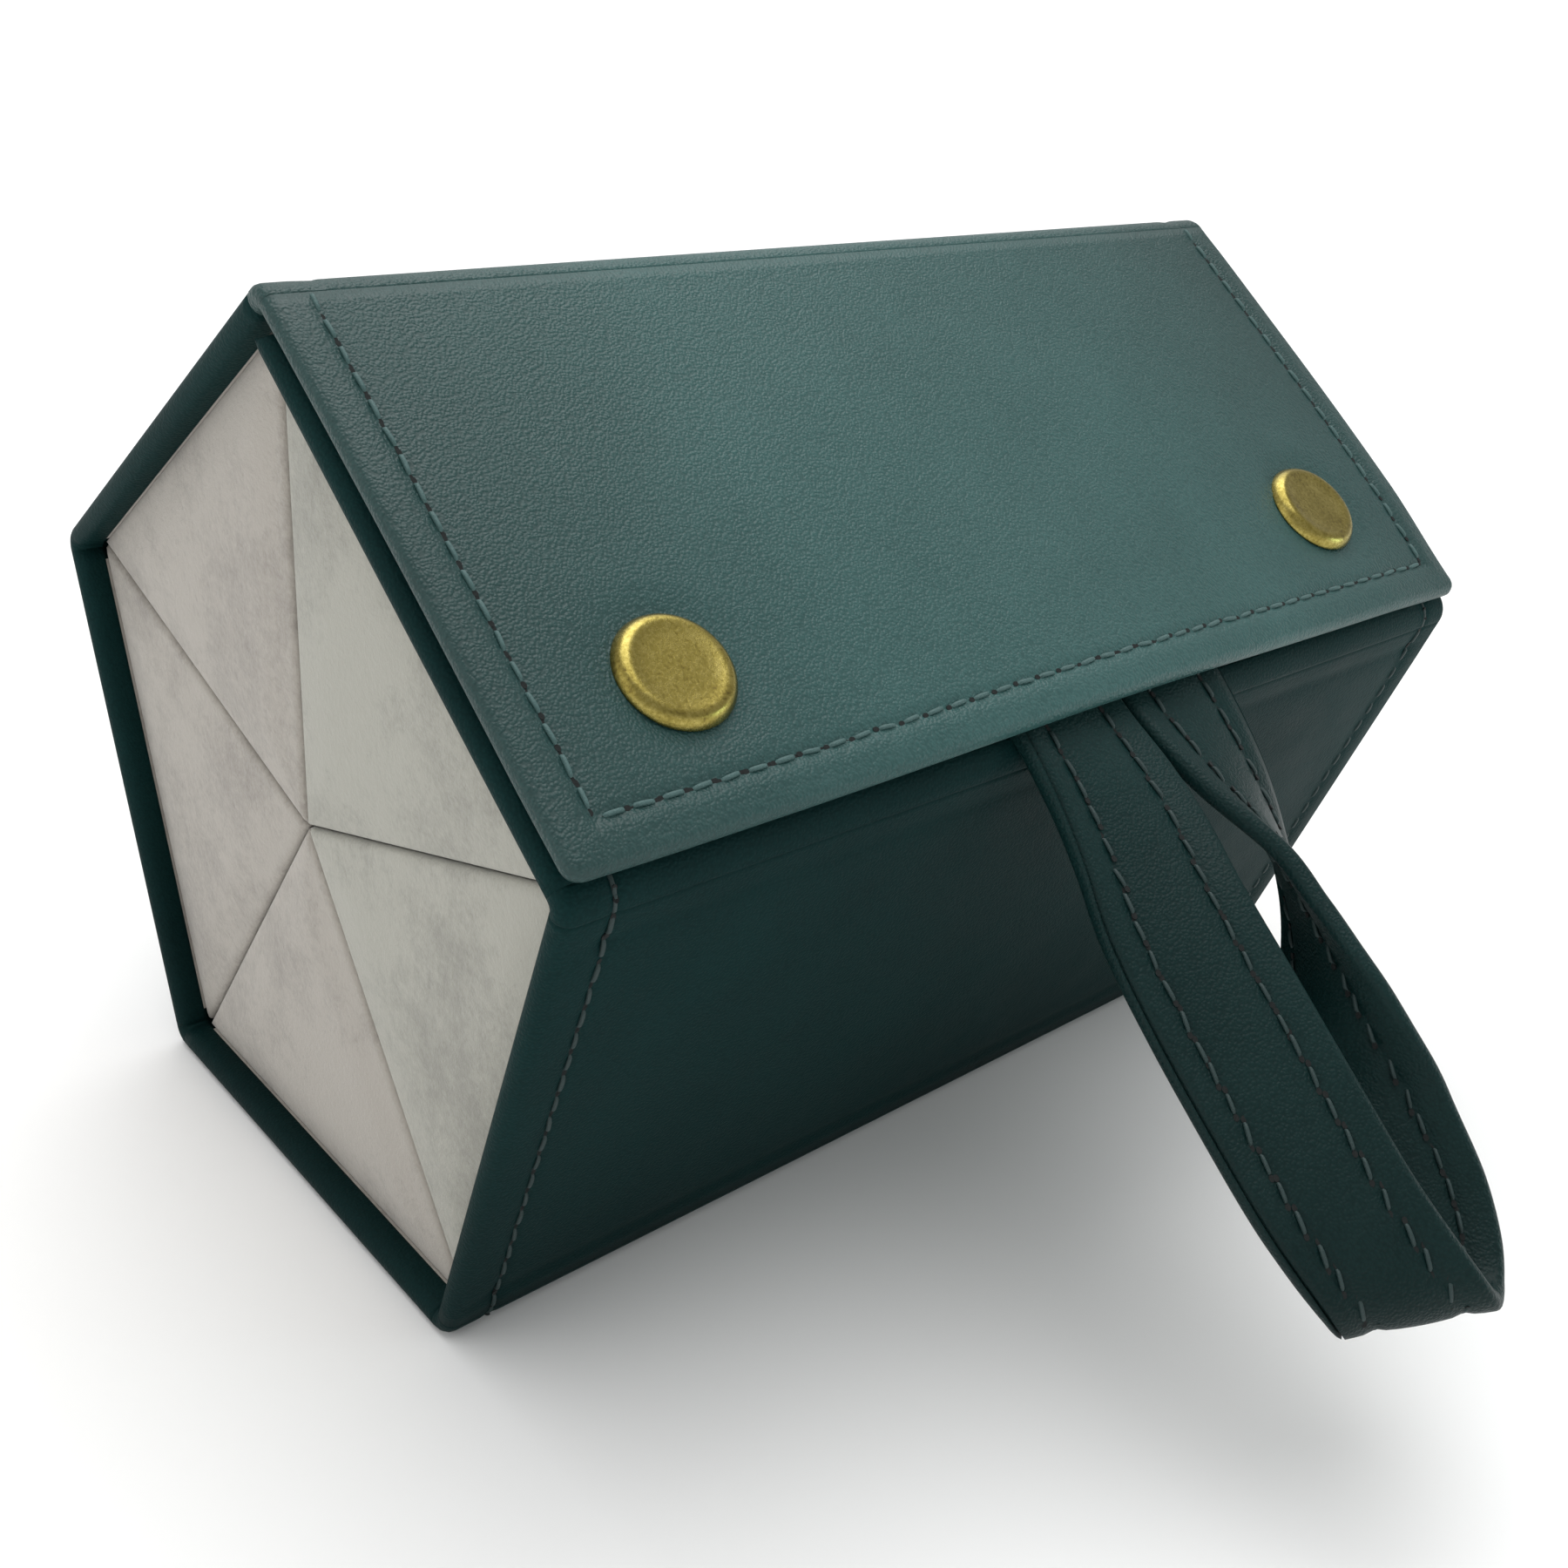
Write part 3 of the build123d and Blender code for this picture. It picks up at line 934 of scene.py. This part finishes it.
# The loop from its near tail to its far tail. Each station gives the distance beyond the front
# panel's lower corner, the place along the case, and the height over the panel's plane, then two
# turns of the band's width in degrees: swung towards the loop's end, twisted out of the plane.
STRAP_STATIONS = (
    (-9, -7.5, 0.9, 0, 0),
    (-1, -7.5, 0.6, 0, 0),
    (8, -7.8, 0.8, 1, 7),
    (16, -9.0, 1.0, 3, 14),
    (26, -11.2, 1.0, 6, 22),
    (38, -12.4, 0.9, 9, 27),
    (50, -13.1, 0.7, 12, 28),
    (61, -13.5, 0.5, 14, 27),
    (68, -13.0, 0.3, 16, 28),
    (74.5, -11.6, -0.3, 18, 29),
    (77.3, -9.0, -1.9, 19, 30),
    (76, -5.4, -3.1, 20, 31),
    (71.5, -2.1, -2.6, 22, 32),
    (65, 0.3, -1.8, 22, 35),
    (56, 1.8, -1.4, 18, 46),
    (48, 4.0, -1.5, 12, 76),
    (40, 8.2, -0.8, 6, 108),
    (32, 11.5, -0.2, 3, 128),
    (24, 13.3, 0.2, 0, 141),
    (12, 13.2, 0.5, 0, 165),
    (-1, 12.9, 0.6, 0, 180),
    (-9, 12.9, 0.9, 0, 180),
)


def spline(values, t):
    """Catmull-Rom through the values."""
    last = len(values) - 1
    i = min(int(t), last - 1)
    f = t - i
    p0, p1 = values[max(i - 1, 0)], values[i]
    p2, p3 = values[i + 1], values[min(i + 2, last)]
    linear = (p2 - p0) * f
    square = (p0 * 2 - p1 * 5 + p2 * 4 - p3) * f ** 2
    cube = (p1 * 3 - p0 - p2 * 3 + p3) * f ** 3
    return 0.5 * (p1 * 2 + linear + square + cube)


STRAP_WIDTH = 20.0
STRAP_THICK = 2.2
STRAP_ROW = 5.2        # stitch rows, each side of the band's middle
STRAP_PUFF = 0.25      # the band is fuller at its edges than at its rows
STRAP_ROOT = 0.5       # the loop bends here, beyond the front panel's lower corner
STRAP_CROWN = 0.26     # fullness between the two rows
STRAP_FURROW = 0.24
STRAP_STEPS = 190
FRONT_CORNER = joint_place("hinge_e_unroll")
ALONG_FRONT = Vector((math.cos(HALF_TURN), 0, -math.sin(HALF_TURN)))
OUT_OF_FRONT = Vector((math.sin(HALF_TURN), 0, math.cos(HALF_TURN)))


def strap_section():
    """Ring of (across, up) round the band, with a furrow along each stitch row.

    The second edge is turned over and also reversed, so the ring crosses itself there.
    """
    half, radius = STRAP_WIDTH / 2, STRAP_THICK / 2
    across = spaced(-half + radius, half - radius, 1.1, (-STRAP_ROW, STRAP_ROW), 1.2, 0.4)
    away = np.abs(across) - STRAP_ROW
    middle = STRAP_CROWN * np.cos(np.pi / 2 * across / STRAP_ROW)
    border = STRAP_PUFF * np.sin(np.pi / 2 * away / (half - radius - STRAP_ROW))
    puff = np.where(away < 0, middle, border)
    top = radius + np.maximum(puff, 0) - STRAP_FURROW * swell(away, 0, FURROW_WIDTH)
    edge = radius + STRAP_PUFF
    end = [(half - radius + radius * math.sin(a), edge * math.cos(a)) for a in ROUND]
    ring = list(zip(across, top))
    ring += end
    ring += list(zip(across[::-1], -top[::-1]))
    ring += [(-side, -up) for side, up in reversed(end)]
    return ring


def strap_frames():
    """Places along the strap, each with the directions along, across and out of the band."""
    points, swings, twists = [], [], []
    for beyond, y, height, swing, twist in STRAP_STATIONS:
        over = Vector((0, y, 0))
        points.append(FRONT_CORNER + ALONG_FRONT * beyond + over + OUT_OF_FRONT * height)
        swings.append(swing)
        twists.append(twist)
    last = len(points) - 1
    frames = []
    for i in range(STRAP_STEPS + 1):
        t = last * i / STRAP_STEPS
        here = spline(points, t)
        ahead, behind = spline(points, min(t + 0.05, last)), spline(points, max(t - 0.05, 0))
        swing, twist = math.radians(spline(swings, t)), math.radians(spline(twists, t))
        level = Vector((0, math.cos(twist), 0)) + OUT_OF_FRONT * math.sin(twist)
        across = ALONG_FRONT * math.sin(swing) + level * math.cos(swing)
        along = ahead - behind
        along = (along - across * along.dot(across)).normalized()
        frames.append((here, along, across, along.cross(across)))
    return frames


def build_strap():
    """The loop swings at its root. The two ends tucked under the flap stay on the front panel."""
    frames = strap_frames()
    root = FRONT_CORNER + ALONG_FRONT * STRAP_ROOT

    def free(place):
        return (place - root).dot(ALONG_FRONT) >= 0

    loose = [i for i, (here, _, _, _) in enumerate(frames) if free(here)]
    first, last = loose[0], loose[-1]
    normals = whole_strap_normals(frames)
    band = strap_piece("strap_band", frames, normals, first, last)
    tucks = [
        strap_piece("strap_tuck_near", frames, normals, 0, first),
        strap_piece("strap_tuck_far", frames, normals, last, len(frames) - 1),
    ]

    spots = strap_spots(frames)
    loop_spots = [spot for spot in spots if free(spot[0] / MM)]
    tuck_spots = [spot for spot in spots if not free(spot[0] / MM)]
    rows = stitch_row("strap_stitches", loop_spots, THREAD, 0.29, 3.1)
    tucks.append(stitch_row("strap_tuck_stitches", tuck_spots, THREAD, 0.29, 3.1))

    for part in (band, rows):
        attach(part, "strap")
        flatten_strap(part)
    for part in tucks:
        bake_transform(part)
    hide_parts("strap_loop")


def band_object(name, frames):
    ring = strap_section()
    points = []
    for here, _, across, up in frames:
        for side, height in ring:
            points.append((here + across * side + up * height) * MM)
    return make_object(name, points, loft_faces(len(frames), len(ring)), [STRAP_LEATHER])


def whole_strap_normals(frames):
    """Normals of the whole band. Its parts take them, so that no seam shows where it is split."""
    whole = band_object("strap_whole", frames)
    normals = [tuple(vertex.normal) for vertex in whole.data.vertices]
    bpy.data.objects.remove(whole)
    return normals


def strap_piece(name, frames, normals, first, last):
    """The band from its first to its last frame."""
    piece = band_object(name, frames[first:last + 1])
    start = first * len(strap_section())
    stop = start + len(piece.data.vertices)
    piece.data.normals_split_custom_set_from_vertices(normals[start:stop])
    return piece


def flatten_strap(part):
    """Gives the part its own copy of its mesh. Unrolled, the case lies on its strap; the loop is
    not flattened here.
    """
    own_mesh(part)


def strap_spots(frames):
    """Two stitch rows on both faces. A stitch sits deeper at a fold, so that its ends stay in."""
    spots, travelled, due = [], 0.0, STITCH_PITCH
    for i in range(2, len(frames) - 2):
        here, along, across, out = frames[i]
        travelled += (here - frames[i - 1][0]).length
        if travelled < due:
            continue
        due += STITCH_PITCH
        run = (frames[i + 2][0] - frames[i - 2][0]).length
        bend = frames[i + 2][1].angle(frames[i - 2][1]) / run
        depth = 0.12 + min(bend * 1.5, 0.5)
        for row in (-STRAP_ROW, STRAP_ROW):
            for face in (-1, 1):
                at = here + across * row + out * face * (STRAP_THICK / 2 - depth)
                spots.append((at * MM, along, out * face))
    return spots


# --- Nodes that keep their CAD shape ---

def paint_nodes():
    kinds = {
        "board": GREYBOARD,
        "lining": SUEDE,
        "partition": SUEDE,
        "snap_socket": BRASS,
        "snap_stud": BRASS,
        "snap_eyelet": BRASS,
        "snap_ring": STEEL,
        "strap_tail": STRAP_LEATHER,
    }
    for name, node in frame["nodes"].items():
        for kind, material in kinds.items():
            if name.startswith(kind):
                node.data.materials.clear()
                node.data.materials.append(material)


# --- Floor, light and camera ---

FLOOR_REACH = 60           # metres, so that its far edge is the horizon


def build_floor():
    mesh = bpy.data.meshes.new("floor")
    far = FLOOR_REACH
    corners = [(-far, -far, 0), (far, -far, 0), (far, far, 0), (-far, far, 0)]
    mesh.from_pydata(corners, [], [(0, 1, 2, 3)])
    floor = bpy.data.objects.new("floor", mesh)
    bpy.context.scene.collection.objects.link(floor)
    material, _, _, shader, _ = new_material("pale_floor")
    shader.inputs["Base Color"].default_value = (0.92, 0.92, 0.915, 1)
    shader.inputs["Roughness"].default_value = 0.9
    shader.inputs["Specular IOR Level"].default_value = 0.1
    mesh.materials.append(material)


def sun_light(name, source, strength, spread, colour=(1, 1, 1)):
    """Wide even light that comes from the given direction, with a spread in degrees."""
    data = bpy.data.lights.new(name, "SUN")
    data.energy = strength
    data.angle = math.radians(spread)
    data.color = colour
    aim_lamp(name, data, (0, 0, 1), -Vector(source))


def aim_lamp(name, data, place, aim):
    lamp = bpy.data.objects.new(name, data)
    lamp.location = place
    lamp.rotation_mode = "QUATERNION"
    lamp.rotation_quaternion = Vector(aim).to_track_quat("-Z", "Y")
    bpy.context.scene.collection.objects.link(lamp)


def build_lights():
    sun_light("top", (-0.15, 0.05, 1.0), 1.6, 60)
    sun_light("key", (-0.45, 0.35, 0.80), 0.9, 50)
    sun_light("near_fill", (-0.15, -1.0, 0.45), 0.42, 50, (1.0, 0.99, 0.97))
    far_fill()
    backdrop()


def far_fill():
    """A small cool lamp beyond the far end, which opens up the strap's shadow side."""
    fill = bpy.data.lights.new("far_fill", "AREA")
    fill.shape = "DISK"
    fill.size = 0.16
    fill.energy = 0.26
    fill.color = (0.72, 1.0, 0.98)
    aim_lamp("far_fill", fill, (0.42, 0.40, 0.14), (-0.37, -0.34, -0.10))


def backdrop():
    """White at the floor's far edge, softer overhead."""
    world = bpy.data.worlds.new("studio")
    world.use_nodes = True
    nodes, links = world.node_tree.nodes, world.node_tree.links
    place = nodes.new("ShaderNodeTexCoord").outputs["Generated"]
    split = nodes.new("ShaderNodeSeparateXYZ")
    links.new(place, split.inputs[0])
    stops = [(0.0, WHITE), (0.14, grey(0.8)), (0.4, grey(0.5))]
    sky = ramp(nodes, links, split.outputs["Z"], stops)
    links.new(sky, nodes["Background"].inputs["Color"])
    nodes["Background"].inputs["Strength"].default_value = 1.0
    bpy.context.scene.world = world


SENSOR = 36.0              # millimetres
LENS = 39.38
CAMERA_PLACE = (0.18312, -0.16729, 0.16397)
CAMERA_RIGHT = (0.65305, 0.75347, 0.07619)
CAMERA_UP = (-0.38366, 0.24242, 0.89109)
CAMERA_BACK = (0.65294, -0.61115, 0.44739)


def build_camera():
    """Seen from the near end, right and above, rolled a little, with a normal lens."""
    data = bpy.data.cameras.new("camera")
    data.sensor_width = SENSOR
    data.lens = LENS
    camera = bpy.data.objects.new("camera", data)
    turn = Matrix((CAMERA_RIGHT, CAMERA_UP, CAMERA_BACK)).transposed().to_4x4()
    camera.matrix_world = Matrix.Translation(CAMERA_PLACE) @ turn
    bpy.context.scene.collection.objects.link(camera)
    bpy.context.scene.camera = camera


build_camera()
for panel in PANELS:
    build_panel(panel)
    for end in (-1, 1):
        build_end_wall(panel, end)
build_corner("c", "rear_lower")
build_corner("d", "base")
build_corner("e", "front_lower")
build_corner("b", "rear_upper")
build_flap()
for end in (-1, 1):
    build_cap(end)
build_strap()
paint_nodes()
build_floor()
build_lights()
bpy.context.scene.view_settings.view_transform = "Standard"
